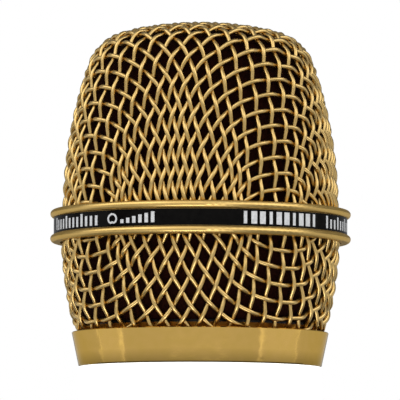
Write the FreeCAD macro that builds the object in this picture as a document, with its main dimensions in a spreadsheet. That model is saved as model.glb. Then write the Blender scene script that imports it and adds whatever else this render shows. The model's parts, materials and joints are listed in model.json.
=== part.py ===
"""Screw-on head of a hand-held vocal microphone: a woven wire grille over a moving-coil capsule.

Frame: millimetres, +Z up along the head's axis, origin at the centre of the foot of the base ring.
Every driving dimension is a cell of the sheet "sizes", and each sub-part is one object bound to it.
"""
import FreeCAD, Part
import math
import os
import re

import Sketcher

Vector = FreeCAD.Vector

# Driving dimensions, in millimetres unless the note says otherwise.
SIZES = {
    # Fits
    "fixed_gap": (0.05, "gap between pieces that are fixed together"),
    "foam_gap": (0.15, "gap between the foam and the mesh in front of it"),
    # Woven mesh: the dome above the band and the skirt below it
    "mesh_wall": (1.2, "thickness of the woven mesh, two wires over each other"),
    "dome_top": (55.1, "height of the crown of the dome"),
    "crown_radius": (52.2, "profile radius of the crown"),
    "dome_corner": (7.7, "profile radius of the dome's shoulder"),
    "dome_side": (72.5, "profile radius of the dome's side"),
    "dome_waist": (24.9, "height where the dome's side becomes upright"),
    "dome_rim": (22.12, "radius of the dome's rim"),
    "skirt_rim": (22.4, "radius of the skirt's rim"),
    "skirt_side": (64.0, "profile radius of the skirt's side"),
    "skirt_corner": (9.4, "profile radius of the skirt's foot"),
    "skirt_centre": (10.44, "height of the centre of that radius"),
    "seam_height": (22.3, "height of the seam between dome and skirt"),
    "seam_half": (0.1, "half the open seam"),
    "skirt_foot": (4.75, "height of the skirt's outer cut edge"),
    "skirt_foot_inside": (5.47, "height of the skirt's inner cut edge"),
    # Band round the waist
    "band_foot": (19.75, "height of the band's lower face"),
    "band_height": (5.2, "height of the band"),
    "band_radius": (24.0, "radius of the band over its beads"),
    "bead_radius": (0.625, "radius of each bead's round edge"),
    "channel_radius": (23.3, "radius of the channel's floor"),
    "label_wall": (0.13, "thickness of the label strip"),
    # Hoop behind the seam
    "hoop_radius": (20.85, "outer radius of the seam hoop"),
    "hoop_wall": (0.6, "wall of the seam hoop"),
    "hoop_foot": (20.6, "height of the seam hoop's foot"),
    "hoop_top": (24.4, "height of the seam hoop's top"),
    # Base ring
    "base_height": (5.47, "height of the base ring"),
    "base_foot": (19.4, "outer radius at the foot of the base ring"),
    "base_lip": (20.48, "outer radius at the lip of the base ring"),
    "lip_wall": (0.48, "wall at the lip"),
    "lip_chamfer": (0.12, "chamfer on the lip's outer edge"),
    "foot_chamfer": (0.18, "chamfer on the foot's outer edge"),
    "lip_depth": (0.27, "depth of the lip above the cone that seats the mesh"),
    "ledge_radius": (18.2, "radius where the seating cone meets the ledge"),
    "ledge_height": (4.1, "height of the ledge under the clamp ring"),
    "grille_bore": (17.56, "bore of the base ring over the hub's thread"),
    "rebate_radius": (18.25, "radius of the rebate over the hub's flange"),
    "rebate_height": (1.15, "height of that rebate"),
    "thread_pitch": (0.75, "pitch of the thread between hub and base ring"),
    "thread_depth": (0.3, "depth of that thread"),
    "thread_width": (0.6, "width of one of its grooves at the mouth"),
    "thread_lead": (0.1, "plain run before its first groove"),
    "cut_reach": (1, "how far a cut runs past the wall it goes through"),
    # Clamp ring
    "clamp_bore": (17.62, "bore of the clamp ring"),
    "clamp_neck": (18.12, "radius of the clamp ring's neck"),
    "clamp_flare": (18.65, "radius of the clamp ring's top"),
    "clamp_shoulder": (5.3, "height where the clamp ring flares"),
    "clamp_top": (6.3, "height of the clamp ring"),
    # Foam liners
    "foam_wall": (1.0, "thickness of the foam"),
    "dome_foam_foot": (24.5, "height of the dome foam's foot"),
    "skirt_foam_top": (20.5, "height of the skirt foam's top"),
    "skirt_foam_foot": (6.7, "height of the skirt foam's foot"),
    # Slip washer
    "washer_bore": (17.6, "bore of the slip washer"),
    "washer_radius": (18.18, "radius of the slip washer"),
    "washer_foot": (0.73, "height of the slip washer's foot"),
    "washer_wall": (0.38, "thickness of the slip washer"),
    # Hub
    "hub_thread": (17.5, "crest radius of the hub's outer thread"),
    "hub_thread_top": (3.6, "height of the top of that thread"),
    "hub_body": (17.3, "radius of the hub above the thread"),
    "hub_flange": (18.2, "radius of the hub's flange"),
    "flange_height": (0.7, "height of the hub's flange"),
    "hub_height": (8.5, "height of the hub"),
    "handle_bore": (15.15, "crest radius of the threaded mouth that takes the handle"),
    "handle_depth": (5.0, "depth of that mouth"),
    "board_hole": (13.4, "radius of the window below the contact board"),
    "board_seat": (6.0, "height of the contact board's seat"),
    "board_recess": (14.6, "radius of the contact board's recess"),
    "screw_circle": (15.95, "radius of the circle of screws"),
    "tap_radius": (0.8, "radius of a tapped screw hole"),
    "tap_foot": (5.6, "height of the bottom of a tapped hole"),
    "screw_count": (3, "number of screws"),
    # Contact board
    "board_radius": (14.5, "radius of the contact board"),
    "board_wall": (1.6, "thickness of the contact board"),
    "track_inner": (3.0, "inner radius of the first contact ring"),
    "track_width": (1.6, "width of a contact ring"),
    "track_step": (3.6, "radial step from one contact ring to the next"),
    "track_wall": (0.1, "thickness of a contact ring"),
    # Screws
    "screw_radius": (0.75, "radius of a screw's shank"),
    "screw_head": (1.3, "radius of a screw's head"),
    "screw_head_height": (1.0, "height of a screw's head"),
    "screw_foot": (6.0, "height of a screw's tip"),
    "slot_width": (0.4, "width of the slot in a screw's head"),
    "slot_depth": (0.5, "depth of that slot"),
    # Cradle
    "cradle_foot": (8.55, "height of the cradle's foot"),
    "cradle_floor": (1.5, "thickness of the cradle's floor"),
    "cradle_flange": (17.1, "radius of the cradle's flange"),
    "cradle_eye": (5.0, "radius of the eye that lets the leads through"),
    "cradle_tube": (14.4, "outer radius of the cradle's tube"),
    "cradle_bore": (13.2, "bore of the cradle's tube"),
    "cradle_mouth": (13.7, "radius of the seat of the upper shock ring"),
    "mouth_foot": (22.0, "height of that seat"),
    "cradle_top": (24.5, "height of the cradle"),
    "screw_clearance": (0.95, "radius of a screw's clearance hole"),
    # Shock rings
    "buffer_inner": (7.5, "inner radius of the lower shock ring"),
    "buffer_outer": (11.5, "outer radius of the lower shock ring"),
    "buffer_foot": (10.1, "height of the lower shock ring's foot"),
    "buffer_height": (3.9, "height of the lower shock ring"),
    "buffer_waist": (3.4, "profile radius of the lower shock ring's hollow sides"),
    "collar_inner": (12.25, "inner radius of the upper shock ring"),
    "collar_outer": (13.65, "outer radius of the upper shock ring"),
    "collar_foot": (22.05, "height of the upper shock ring's foot"),
    "collar_height": (2.6, "height of the upper shock ring"),
    # Leads
    "lead_radius": (0.25, "radius of a lead"),
    "lead_board": (3.9, "distance of a lead's board end from the axis"),
    "lead_high": (11.0, "height of a lead's upper bend"),
    "lead_low": (9.25, "height of a lead's lower bend"),
    # Capsule
    "capsule_foot": (14.05, "height of the capsule's foot"),
    "capsule_top": (40.0, "height of the capsule housing's rim"),
    "capsule_radius": (12.2, "radius of the capsule housing"),
    "capsule_bore": (11.2, "bore of the capsule housing"),
    "capsule_floor": (1.2, "thickness of the housing's floor"),
    "post_hole": (3.5, "radius of the hole that the posts come through"),
    "insert_radius": (11.1, "radius of the pieces inside the housing"),
    "port_foot": (28.6, "height of the foot of a rear port"),
    "port_height": (3.8, "height of a rear port"),
    "port_width": (2.6, "width of a rear port"),
    "port_count": (10, "number of rear ports"),
    # Terminal board and posts
    "terminal_foot": (15.3, "height of the terminal board's foot"),
    "terminal_wall": (1.2, "thickness of the terminal board"),
    "post_offset": (2.5, "distance of a post from the axis"),
    "post_count": (2, "number of solder posts"),
    "post_radius": (0.5, "radius of a post"),
    "post_foot": (12.6, "height of a post's foot"),
    "post_top": (17.1, "height of a post's top"),
    # Rear cup and its felt
    "cup_foot": (17.3, "height of the rear cup's foot"),
    "cup_top": (27.0, "height of the rear cup's rim"),
    "cup_wall": (0.7, "wall of the rear cup"),
    "cup_vent": (1.0, "radius of the vent in the rear cup's floor"),
    "felt_inner": (7.6, "inner radius of the felt"),
    "felt_wall": (0.7, "thickness of the felt"),
    # Basket and magnet system
    "basket_foot": (27.8, "height of the basket's foot"),
    "basket_floor": (1.2, "thickness of the basket's floor"),
    "basket_top": (36.75, "height of the basket's rim"),
    "basket_bore": (9.2, "bore of the basket"),
    "window_sill": (0.4, "height of a basket window's sill over the floor"),
    "basket_eye": (7.0, "radius of the hole in the basket's floor"),
    "yoke_radius": (9.15, "radius of the yoke"),
    "yoke_foot": (29.05, "height of the yoke's foot"),
    "yoke_height": (7.2, "height of the yoke"),
    "yoke_floor": (2.0, "thickness of the yoke's floor"),
    "yoke_bore": (7.4, "bore of the yoke"),
    "magnet_radius": (6.0, "radius of the magnet"),
    "magnet_height": (3.7, "height of the magnet"),
    "pole_radius": (6.5, "radius of the pole plate"),
    "pole_height": (1.5, "thickness of the pole plate"),
    # Diaphragm and coil
    "coil_inner": (6.8, "inner radius of the voice coil"),
    "coil_outer": (7.1, "outer radius of the voice coil"),
    "coil_foot": (34.8, "height of the voice coil's foot"),
    "film": (0.1, "thickness of the diaphragm"),
    "film_height": (37.0, "height of the diaphragm's rim"),
    "film_radius": (11.0, "radius of the diaphragm"),
    "film_dome": (7.15, "radius of the diaphragm's dome"),
    "film_rise": (1.6, "rise of the diaphragm's dome"),
    "roll_inner": (7.6, "inner radius of the diaphragm's roll"),
    "roll_outer": (9.6, "outer radius of the diaphragm's roll"),
    "roll_radius": (1.3, "profile radius of the diaphragm's roll"),
    # Front of the capsule
    "keeper_inner": (9.7, "inner radius of the keeper ring"),
    "keeper_foot": (37.35, "height of the keeper ring's foot"),
    "keeper_height": (0.8, "thickness of the keeper ring"),
    "cap_bore": (10.2, "bore of the cap's skirt"),
    "cap_skirt_foot": (38.2, "height of the foot of the cap's skirt"),
    "cap_foot": (40.05, "height of the cap's disc"),
    "cap_wall": (1.15, "thickness of the cap's disc"),
    "cap_centre_hole": (1.3, "radius of the cap's middle hole"),
    "cap_hole": (1.1, "radius of each of the cap's other holes"),
    "cap_inner_circle": (4.1, "radius of the inner circle of holes"),
    "cap_outer_circle": (7.9, "radius of the outer circle of holes"),
    "cap_inner_count": (6, "holes in the inner circle"),
    "cap_outer_count": (12, "holes in the outer circle"),
    "cloth_radius": (10.1, "radius of the front cloth"),
    "cloth_wall": (0.2, "thickness of the front cloth"),
}

# How much of the shorter of two runs a lead's bend takes, and how far its volume may be off.
BEND_SHARE = 0.45
VOLUME_TOLERANCE = 0.01

doc = FreeCAD.newDocument("microphone_head")
sheet = doc.addObject("Spreadsheet::Sheet", "sizes")
sub_parts = []


# ---------------------------------------------------------------- sheet


def fill_sheet():
    """Writes each driving dimension into its own cell, with its name as the alias."""
    for row, (alias, (value, note)) in enumerate(SIZES.items(), start=1):
        sheet.set(f"A{row}", note)
        sheet.set(f"B{row}", str(value))
        sheet.setAlias(f"B{row}", alias)
    doc.recompute()


def bound(formula):
    """A size formula as an expression, with every cell's name led by the sheet's."""
    return re.sub(r"[a-z_]+", lambda m: "sizes." + m.group() if m.group() in SIZES else m.group(), formula)


def value_of(formula):
    """The number that a size formula gives now."""
    return float(sheet.evalExpression(bound(formula)))


# ---------------------------------------------------------------- sketches


def origin_plane(body, role):
    """The body's own origin plane with that role."""
    return next(f for f in body.Origin.OriginFeatures if f.Role == role)


def new_sketch(body, name, role):
    """An empty sketch on one of the body's origin planes."""
    sketch = body.newObject("Sketcher::SketchObject", name)
    sketch.AttachmentSupport = (origin_plane(body, role), "")
    sketch.MapMode = "FlatFace"
    return sketch


def bind(sketch, kind, *args):
    """Adds a dimension to the sketch, its last argument a size formula."""
    formula = args[-1]
    index = sketch.addConstraint(Sketcher.Constraint(kind, *args[:-1], value_of(formula)))
    sketch.setExpression(f"Constraints[{index}]", bound(formula))


def bind_point(sketch, geometry, position, radius, height):
    """Fixes one end of a sketch's edge at a radius and a height."""
    for axis, kind, formula in ((-2, "DistanceX", radius), (-1, "DistanceY", height)):
        if formula == "0":
            sketch.addConstraint(Sketcher.Constraint("PointOnObject", geometry, position, axis))
        else:
            bind(sketch, kind, -1, 1, geometry, position, formula)


def arc_between(start, end, radius, turn):
    """The minor arc from start to end, turning left if turn is 1 and right if it is -1."""
    chord = end - start
    middle = (start + end) * 0.5
    normal = Vector(-chord.y, chord.x, 0).normalize()
    centre = middle + normal * (turn * math.sqrt(radius**2 - (chord.Length / 2) ** 2))
    first, last = (start, end) if turn > 0 else (end, start)
    angles = [math.atan2(p.y - centre.y, p.x - centre.x) for p in (first, last)]
    return Part.ArcOfCircle(Part.Circle(centre, Vector(0, 0, 1), radius), *angles)


def draw_outline(sketch, corners):
    """A closed outline. A corner is (radius, height), or (radius, height, arc radius, turn)
    where the edge that leaves it is an arc."""
    points = [Vector(value_of(c[0]), value_of(c[1]), 0) for c in corners]
    ends = []
    for number, corner in enumerate(corners):
        start, end = points[number], points[(number + 1) % len(points)]
        if len(corner) == 2:
            sketch.addGeometry(Part.LineSegment(start, end), False)
            ends.append((1, 2))
        else:
            sketch.addGeometry(arc_between(start, end, value_of(corner[2]), corner[3]), False)
            ends.append((1, 2) if corner[3] > 0 else (2, 1))
    for number, corner in enumerate(corners):
        following = (number + 1) % len(corners)
        sketch.addConstraint(
            Sketcher.Constraint("Coincident", number, ends[number][1], following, ends[following][0])
        )
        bind_point(sketch, number, ends[number][0], corner[0], corner[1])
        if len(corner) == 4:
            bind(sketch, "Radius", number, corner[2])


# ---------------------------------------------------------------- features


def new_body(name):
    """A named sub-part made with PartDesign features."""
    body = doc.addObject("PartDesign::Body", name)
    body.Label = name
    sub_parts.append(body)
    return body


def spin(body, sketch, kind="Revolution"):
    """Turns the sketch a full turn about the head's axis, as a Revolution or a Groove."""
    feature = body.newObject("PartDesign::" + kind, sketch.Name + "_" + kind.lower())
    feature.Profile = sketch
    feature.ReferenceAxis = (sketch, ["V_Axis"])
    return feature


def turned(name, corners):
    """A sub-part turned from one outline."""
    body = new_body(name)
    sketch = new_sketch(body, name + "_outline", "XZ_Plane")
    draw_outline(sketch, corners)
    spin(body, sketch)
    return body


def ring(name, inner, outer, foot, top):
    """A turned sub-part with a plain rectangular section."""
    return turned(name, [(inner, foot), (outer, foot), (outer, top), (inner, top)])


def disc(name, radius, foot, height):
    """A plain round disc."""
    cylinder = doc.addObject("Part::Cylinder", name)
    cylinder.Label = name
    cylinder.setExpression("Radius", bound(radius))
    cylinder.setExpression("Height", bound(height))
    cylinder.setExpression("Placement.Base.z", bound(foot))
    sub_parts.append(cylinder)
    return cylinder


def repeat_round(body, feature, sketch, axis, count):
    """Repeats a cut about the head's axis."""
    pattern = body.newObject("PartDesign::PolarPattern", feature.Name + "_ring")
    pattern.Originals = [feature]
    pattern.Axis = (sketch, [axis])
    pattern.Angle = 360
    pattern.setExpression("Occurrences", bound(count))
    body.Tip = pattern


def drill(body, name, distance, radius, foot, top, count=None):
    """Upright round holes from foot to top, cut at a distance from the axis."""
    sketch = new_sketch(body, name + "_circle", "XY_Plane")
    sketch.setExpression("AttachmentOffset.Base.z", bound(top))
    at = 0 if distance == "0" else value_of(distance)
    sketch.addGeometry(Part.Circle(Vector(at, 0, 0), Vector(0, 0, 1), value_of(radius)), False)
    bind(sketch, "Radius", 0, radius)
    bind_point(sketch, 0, 3, distance, "0")
    doc.recompute()
    solid_before = body.Shape.Volume
    pocket = body.newObject("PartDesign::Pocket", name)
    pocket.Profile = sketch
    pocket.setExpression("Length", bound(f"{top} - ({foot})"))
    if count:
        repeat_round(body, pocket, sketch, "N_Axis", count)
    doc.recompute()
    if body.Shape.Volume >= solid_before:
        raise RuntimeError(name + " cuts nothing")


def cut_ports(body, name, foot, height, width, reach, count):
    """Upright windows cut outwards through a wall, from the axis to a reach."""
    sketch = new_sketch(body, name + "_window", "YZ_Plane")
    half, low, high = value_of(width) / 2, value_of(foot), value_of(f"{foot} + {height}")
    corners = [Vector(-half, low, 0), Vector(half, low, 0), Vector(half, high, 0), Vector(-half, high, 0)]
    for number in range(4):
        sketch.addGeometry(Part.LineSegment(corners[number], corners[(number + 1) % 4]), False)
    for number in range(4):
        sketch.addConstraint(Sketcher.Constraint("Coincident", number, 2, (number + 1) % 4, 1))
    for number, kind in ((1, "Vertical"), (2, "Horizontal"), (3, "Vertical")):
        sketch.addConstraint(Sketcher.Constraint(kind, number))
    sketch.addConstraint(Sketcher.Constraint("Symmetric", 0, 1, 0, 2, -2))
    bind(sketch, "DistanceX", 0, 1, 0, 2, width)
    bind(sketch, "DistanceY", -1, 1, 0, 1, foot)
    bind(sketch, "DistanceY", 1, 1, 1, 2, height)
    doc.recompute()
    solid_before = body.Shape.Volume
    pocket = body.newObject("PartDesign::Pocket", name)
    pocket.Profile = sketch
    pocket.Reversed = True
    pocket.setExpression("Length", bound(reach))
    repeat_round(body, pocket, sketch, "V_Axis", count)
    doc.recompute()
    if body.Shape.Volume >= solid_before:
        raise RuntimeError(name + " cuts nothing")


def cut_thread(body, name, crest, depth, first, count):
    """A thread as parallel V grooves, one pitch apart. A negative depth cuts into a bore."""
    sketch = new_sketch(body, name + "_vee", "XZ_Plane")
    root = f"{crest} - ({depth})"
    draw_outline(
        sketch,
        [
            (crest, first),
            (crest, f"{first} + thread_width"),
            (root, f"{first} + thread_width / 2"),
        ]
        if depth.startswith("-")
        else [
            (crest, first),
            (root, f"{first} + thread_width / 2"),
            (crest, f"{first} + thread_width"),
        ],
    )
    groove = spin(body, sketch, "Groove")
    pattern = body.newObject("PartDesign::LinearPattern", name + "_pitch")
    pattern.Originals = [groove]
    pattern.Direction = (sketch, ["V_Axis"])
    pattern.setExpression("Length", bound(f"thread_pitch * {count - 1}"))
    pattern.Occurrences = count
    body.Tip = pattern


# ---------------------------------------------------------------- drawn mesh and foam shells


def tangent_centre(first, first_reach, second, second_reach):
    """The right-hand point at those distances from two centres."""
    line = second - first
    along = (first_reach**2 - second_reach**2 + line.Length**2) / (2 * line.Length)
    across = math.sqrt(first_reach**2 - along**2)
    unit = Vector(line).normalize()
    found = [first + unit * along + Vector(-unit.y, unit.x, 0) * side for side in (across, -across)]
    return max(found, key=lambda p: p.x)


def add_arc(sketch, centre, radius, start, end):
    """A counter-clockwise arc about centre, from the direction of start to that of end."""
    angles = [math.atan2(p.y - centre.y, p.x - centre.x) for p in (start, end)]
    circle = Part.Circle(centre, Vector(0, 0, 1), radius)
    return sketch.addGeometry(Part.ArcOfCircle(circle, *angles), False)


def draw_dome_line(sketch, offset, rim):
    """Crown, shoulder, side and upright rim of the dome, a set distance inside its outer skin."""
    radii = [value_of(f"{name} - ({offset})") for name in ("crown_radius", "dome_corner", "dome_side")]
    waist, edge = value_of("dome_waist"), value_of(f"dome_rim - ({offset})")
    top = Vector(0, value_of(f"dome_top - ({offset})"), 0)
    crown, side = Vector(0, top.y - radii[0], 0), Vector(edge - radii[2], waist, 0)
    corner = tangent_centre(crown, radii[0] - radii[1], side, radii[2] - radii[1])
    upper = crown + Vector(corner - crown).normalize() * radii[0]
    lower = side + Vector(corner - side).normalize() * radii[2]
    start = Vector(edge, waist, 0)
    arcs = [
        add_arc(sketch, crown, radii[0], upper, top),
        add_arc(sketch, corner, radii[1], lower, upper),
        add_arc(sketch, side, radii[2], start, lower),
    ]
    foot = Vector(edge, value_of(rim), 0)
    line = sketch.addGeometry(Part.LineSegment(foot, start), False)
    for arc, name in zip(arcs, ("crown_radius", "dome_corner", "dome_side")):
        bind(sketch, "Radius", arc, f"{name} - ({offset})")
    sketch.addConstraint(Sketcher.Constraint("Tangent", arcs[0], 1, arcs[1], 2))
    sketch.addConstraint(Sketcher.Constraint("Tangent", arcs[1], 1, arcs[2], 2))
    sketch.addConstraint(Sketcher.Constraint("Tangent", arcs[2], 1, line, 2))
    sketch.addConstraint(Sketcher.Constraint("PointOnObject", arcs[0], 3, -2))
    bind_point(sketch, arcs[0], 2, "0", f"dome_top - ({offset})")
    sketch.addConstraint(Sketcher.Constraint("Vertical", line))
    bind_point(sketch, line, 2, f"dome_rim - ({offset})", "dome_waist")
    bind(sketch, "DistanceY", -1, 1, line, 1, rim)
    return (arcs[0], 2), (line, 1)


def draw_skirt_line(sketch, offset, top, foot):
    """Side and rounded foot of the skirt, a set distance inside its outer skin."""
    side_radius, corner_radius = (value_of(f"{n} - ({offset})") for n in ("skirt_side", "skirt_corner"))
    side = Vector(value_of("skirt_rim - skirt_side"), value_of("seam_height"), 0)
    drop = side.y - value_of("skirt_centre")
    corner = Vector(side.x + math.sqrt((side_radius - corner_radius) ** 2 - drop**2), side.y - drop, 0)
    joint = side + Vector(corner - side).normalize() * side_radius
    high, low = value_of(top), value_of(foot)
    upper = Vector(side.x + math.sqrt(side_radius**2 - (side.y - high) ** 2), high, 0)
    lower = Vector(corner.x + math.sqrt(corner_radius**2 - (corner.y - low) ** 2), low, 0)
    arcs = [
        add_arc(sketch, side, side_radius, joint, upper),
        add_arc(sketch, corner, corner_radius, lower, joint),
    ]
    bind(sketch, "Radius", arcs[0], f"skirt_side - ({offset})")
    bind(sketch, "Radius", arcs[1], f"skirt_corner - ({offset})")
    sketch.addConstraint(Sketcher.Constraint("Tangent", arcs[0], 1, arcs[1], 2))
    bind(sketch, "DistanceX", arcs[0], 3, -1, 1, "skirt_side - skirt_rim")
    bind(sketch, "DistanceY", -1, 1, arcs[0], 3, "seam_height")
    bind(sketch, "DistanceY", -1, 1, arcs[1], 3, "skirt_centre")
    bind(sketch, "DistanceY", -1, 1, arcs[0], 2, top)
    bind(sketch, "DistanceY", -1, 1, arcs[1], 1, foot)
    return (arcs[0], 2), (arcs[1], 1)


def close_shell(sketch, outer, inner):
    """Joins the ends of an outer and an inner line with straight edges."""
    for (first, first_end), (second, second_end) in zip(outer, inner):
        points = [sketch.getPoint(first, first_end), sketch.getPoint(second, second_end)]
        line = sketch.addGeometry(Part.LineSegment(*points), False)
        sketch.addConstraint(Sketcher.Constraint("Coincident", line, 1, first, first_end))
        sketch.addConstraint(Sketcher.Constraint("Coincident", line, 2, second, second_end))


def dome_shell(name, offset, wall, rim):
    """A shell that follows the dome, a set distance inside its outer skin."""
    body = new_body(name)
    sketch = new_sketch(body, name + "_outline", "XZ_Plane")
    outer = draw_dome_line(sketch, offset, rim)
    inner = draw_dome_line(sketch, f"{offset} + {wall}", rim)
    close_shell(sketch, outer, inner)
    spin(body, sketch)


def skirt_shell(name, offset, wall, top, foot, foot_inside):
    """A shell that follows the skirt, a set distance inside its outer skin."""
    body = new_body(name)
    sketch = new_sketch(body, name + "_outline", "XZ_Plane")
    outer = draw_skirt_line(sketch, offset, top, foot)
    inner = draw_skirt_line(sketch, f"{offset} + {wall}", top, foot_inside)
    close_shell(sketch, outer, inner)
    spin(body, sketch)


# ---------------------------------------------------------------- grille


def make_upper_mesh():
    """The woven dome above the band, as a plain shell as thick as the weave."""
    dome_shell("upper_mesh", "0", "mesh_wall", "seam_height + seam_half")


def make_lower_mesh():
    """The woven skirt below the band, as a plain shell as thick as the weave."""
    top = "seam_height - seam_half"
    skirt_shell("lower_mesh", "0", "mesh_wall", top, "skirt_foot", "skirt_foot_inside")


def make_band_ring():
    """The band round the waist: two round beads with a channel between them."""
    low, high = "band_foot", "band_foot + band_height"
    bead = "band_radius - bead_radius"
    turned(
        "band_ring",
        [
            ("skirt_rim + fixed_gap", low),
            (bead, low, "bead_radius", 1),
            ("band_radius", "band_foot + bead_radius", "bead_radius", 1),
            (bead, "band_foot + 2 * bead_radius"),
            ("channel_radius", "band_foot + 2 * bead_radius"),
            ("channel_radius", "band_foot + band_height - 2 * bead_radius"),
            (bead, "band_foot + band_height - 2 * bead_radius", "bead_radius", 1),
            ("band_radius", "band_foot + band_height - bead_radius", "bead_radius", 1),
            (bead, high),
            ("dome_rim + fixed_gap", high),
            ("dome_rim + fixed_gap", "seam_height"),
            ("skirt_rim + fixed_gap", "seam_height"),
        ],
    )


def make_band_label():
    """The strip that lies in the band's channel."""
    floor = "channel_radius + fixed_gap / 2"
    foot, top = (f"band_foot + {t}" for t in ("2 * bead_radius", "band_height - 2 * bead_radius"))
    ring("band_label", floor, f"{floor} + label_wall", f"{foot} + fixed_gap", f"{top} - fixed_gap")


def make_seam_hoop():
    """The hoop that backs the seam between the two meshes."""
    ring("seam_hoop", "hoop_radius - hoop_wall", "hoop_radius", "hoop_foot", "hoop_top")


def make_base_ring():
    """The tapered collar at the foot, with the seat for the skirt and the grille's thread."""
    lip = "base_lip - lip_wall"
    cone_top = "base_height - lip_depth"
    body = turned(
        "base_ring",
        [
            ("rebate_radius", "0"),
            ("base_foot - foot_chamfer", "0"),
            ("base_foot", "foot_chamfer"),
            ("base_lip", "base_height - lip_chamfer"),
            ("base_lip - lip_chamfer", "base_height"),
            (lip, "base_height"),
            (lip, cone_top),
            ("ledge_radius", "ledge_height"),
            ("grille_bore", "ledge_height"),
            ("grille_bore", "rebate_height"),
            ("rebate_radius", "rebate_height"),
        ],
    )
    cut_thread(body, "grille_thread", "grille_bore", "-thread_depth", "rebate_height + thread_lead", 3)


def make_clamp_ring():
    """The inner ring that wedges the skirt's cut edge against the base ring."""
    foot = "ledge_height + fixed_gap"
    turned(
        "clamp_ring",
        [
            ("clamp_bore", foot),
            ("clamp_neck", foot),
            ("clamp_neck", "clamp_shoulder"),
            ("clamp_flare", "clamp_top"),
            ("clamp_bore", "clamp_top"),
        ],
    )


def make_dome_foam():
    """The foam windscreen behind the dome."""
    dome_shell("dome_foam", "mesh_wall + foam_gap", "foam_wall", "dome_foam_foot")


def make_skirt_foam():
    """The foam windscreen behind the skirt."""
    offset = "mesh_wall + foam_gap"
    skirt_shell("skirt_foam", offset, "foam_wall", "skirt_foam_top", "skirt_foam_foot", "skirt_foam_foot")


def make_slip_washer():
    """The nylon washer held in the base ring, between its rebate and the hub's flange."""
    ring("slip_washer", "washer_bore", "washer_radius", "washer_foot", "washer_foot + washer_wall")


# ---------------------------------------------------------------- base


def make_hub():
    """The turned hub: thread for the grille outside, mouth for the handle inside."""
    body = turned(
        "hub",
        [
            ("handle_bore", "0"),
            ("hub_flange", "0"),
            ("hub_flange", "flange_height"),
            ("hub_thread", "flange_height"),
            ("hub_thread", "hub_thread_top"),
            ("hub_body", "hub_thread_top"),
            ("hub_body", "hub_height"),
            ("board_recess", "hub_height"),
            ("board_recess", "board_seat"),
            ("board_hole", "board_seat"),
            ("board_hole", "handle_depth"),
            ("handle_bore", "handle_depth"),
        ],
    )
    cut_thread(body, "hub_groove", "hub_thread", "thread_depth", "rebate_height + thread_lead", 3)
    drill(body, "screw_hole", "screw_circle", "tap_radius", "tap_foot", "hub_height", "screw_count")


def make_contact_board():
    """The board that closes the handle's mouth and carries the contact rings."""
    disc("contact_board", "board_radius", "board_seat + fixed_gap", "board_wall")


def make_contact_rings():
    """Three gilt rings on the underside of the contact board."""
    for number, name in enumerate(("contact_ring_inner", "contact_ring_middle", "contact_ring_outer")):
        inner = f"track_inner + {number} * track_step"
        top = "board_seat + fixed_gap"
        ring(name, inner, f"{inner} + track_width", f"{top} - track_wall", top)


def make_screw(number, seat):
    """One slotted screw, standing on its seat on the screw circle."""
    head = doc.addObject("Part::Cylinder", f"screw_head_{number}")
    head.setExpression("Radius", bound("screw_head"))
    head.setExpression("Height", bound("screw_head_height"))
    head.setExpression("Placement.Base.z", bound(seat))
    shank = doc.addObject("Part::Cylinder", f"screw_shank_{number}")
    shank.setExpression("Radius", bound("screw_radius"))
    shank.setExpression("Height", bound(f"{seat} - screw_foot + slot_depth / 2"))
    shank.setExpression("Placement.Base.z", bound("screw_foot"))
    slot = doc.addObject("Part::Box", f"screw_slot_{number}")
    slot.setExpression("Length", bound("2 * screw_head + 2 * cut_reach"))
    slot.setExpression("Width", bound("slot_width"))
    slot.setExpression("Height", bound("slot_depth"))
    slot.setExpression("Placement.Base.x", bound("-screw_head - cut_reach"))
    slot.setExpression("Placement.Base.y", bound("-slot_width / 2"))
    slot.setExpression("Placement.Base.z", bound(f"{seat} + screw_head_height - slot_depth"))
    blank = doc.addObject("Part::Fuse", f"screw_blank_{number}")
    blank.Base, blank.Tool = head, shank
    screw = doc.addObject("Part::Cut", f"screw_{number}")
    screw.Base, screw.Tool = blank, slot
    turn = f"{number} * 360 / screw_count"
    screw.setExpression("Placement.Base.x", bound(f"screw_circle * cos({turn})"))
    screw.setExpression("Placement.Base.y", bound(f"screw_circle * sin({turn})"))
    screw.Placement.Rotation = FreeCAD.Rotation(Vector(0, 0, 1), value_of(turn))
    return screw


def make_cradle_screws():
    """The screws that hold the cradle down on the hub."""
    screws = doc.addObject("Part::Compound", "cradle_screws")
    screws.Label = "cradle_screws"
    seat = "cradle_foot + cradle_floor"
    screws.Links = [make_screw(number, seat) for number in range(int(value_of("screw_count")))]
    sub_parts.append(screws)


def make_cradle():
    """The moulded cup that carries the capsule between two rubber rings."""
    floor_top = "cradle_foot + cradle_floor"
    body = turned(
        "cradle",
        [
            ("cradle_eye", "cradle_foot"),
            ("cradle_flange", "cradle_foot"),
            ("cradle_flange", floor_top),
            ("cradle_tube", floor_top),
            ("cradle_tube", "cradle_top"),
            ("cradle_mouth", "cradle_top"),
            ("cradle_mouth", "mouth_foot"),
            ("cradle_bore", "mouth_foot"),
            ("cradle_bore", floor_top),
            ("cradle_eye", floor_top),
        ],
    )
    hole = ("screw_circle", "screw_clearance", "cradle_foot", floor_top, "screw_count")
    drill(body, "cradle_hole", *hole)


def make_shock_rings():
    """The rubber rings under and round the capsule."""
    top = "buffer_foot + buffer_height"
    turned(
        "shock_ring_lower",
        [
            ("buffer_inner", "buffer_foot"),
            ("buffer_outer", "buffer_foot", "buffer_waist", -1),
            ("buffer_outer", top),
            ("buffer_inner", top, "buffer_waist", -1),
        ],
    )
    ring("shock_ring_upper", "collar_inner", "collar_outer", "collar_foot", "collar_foot + collar_height")


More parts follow.
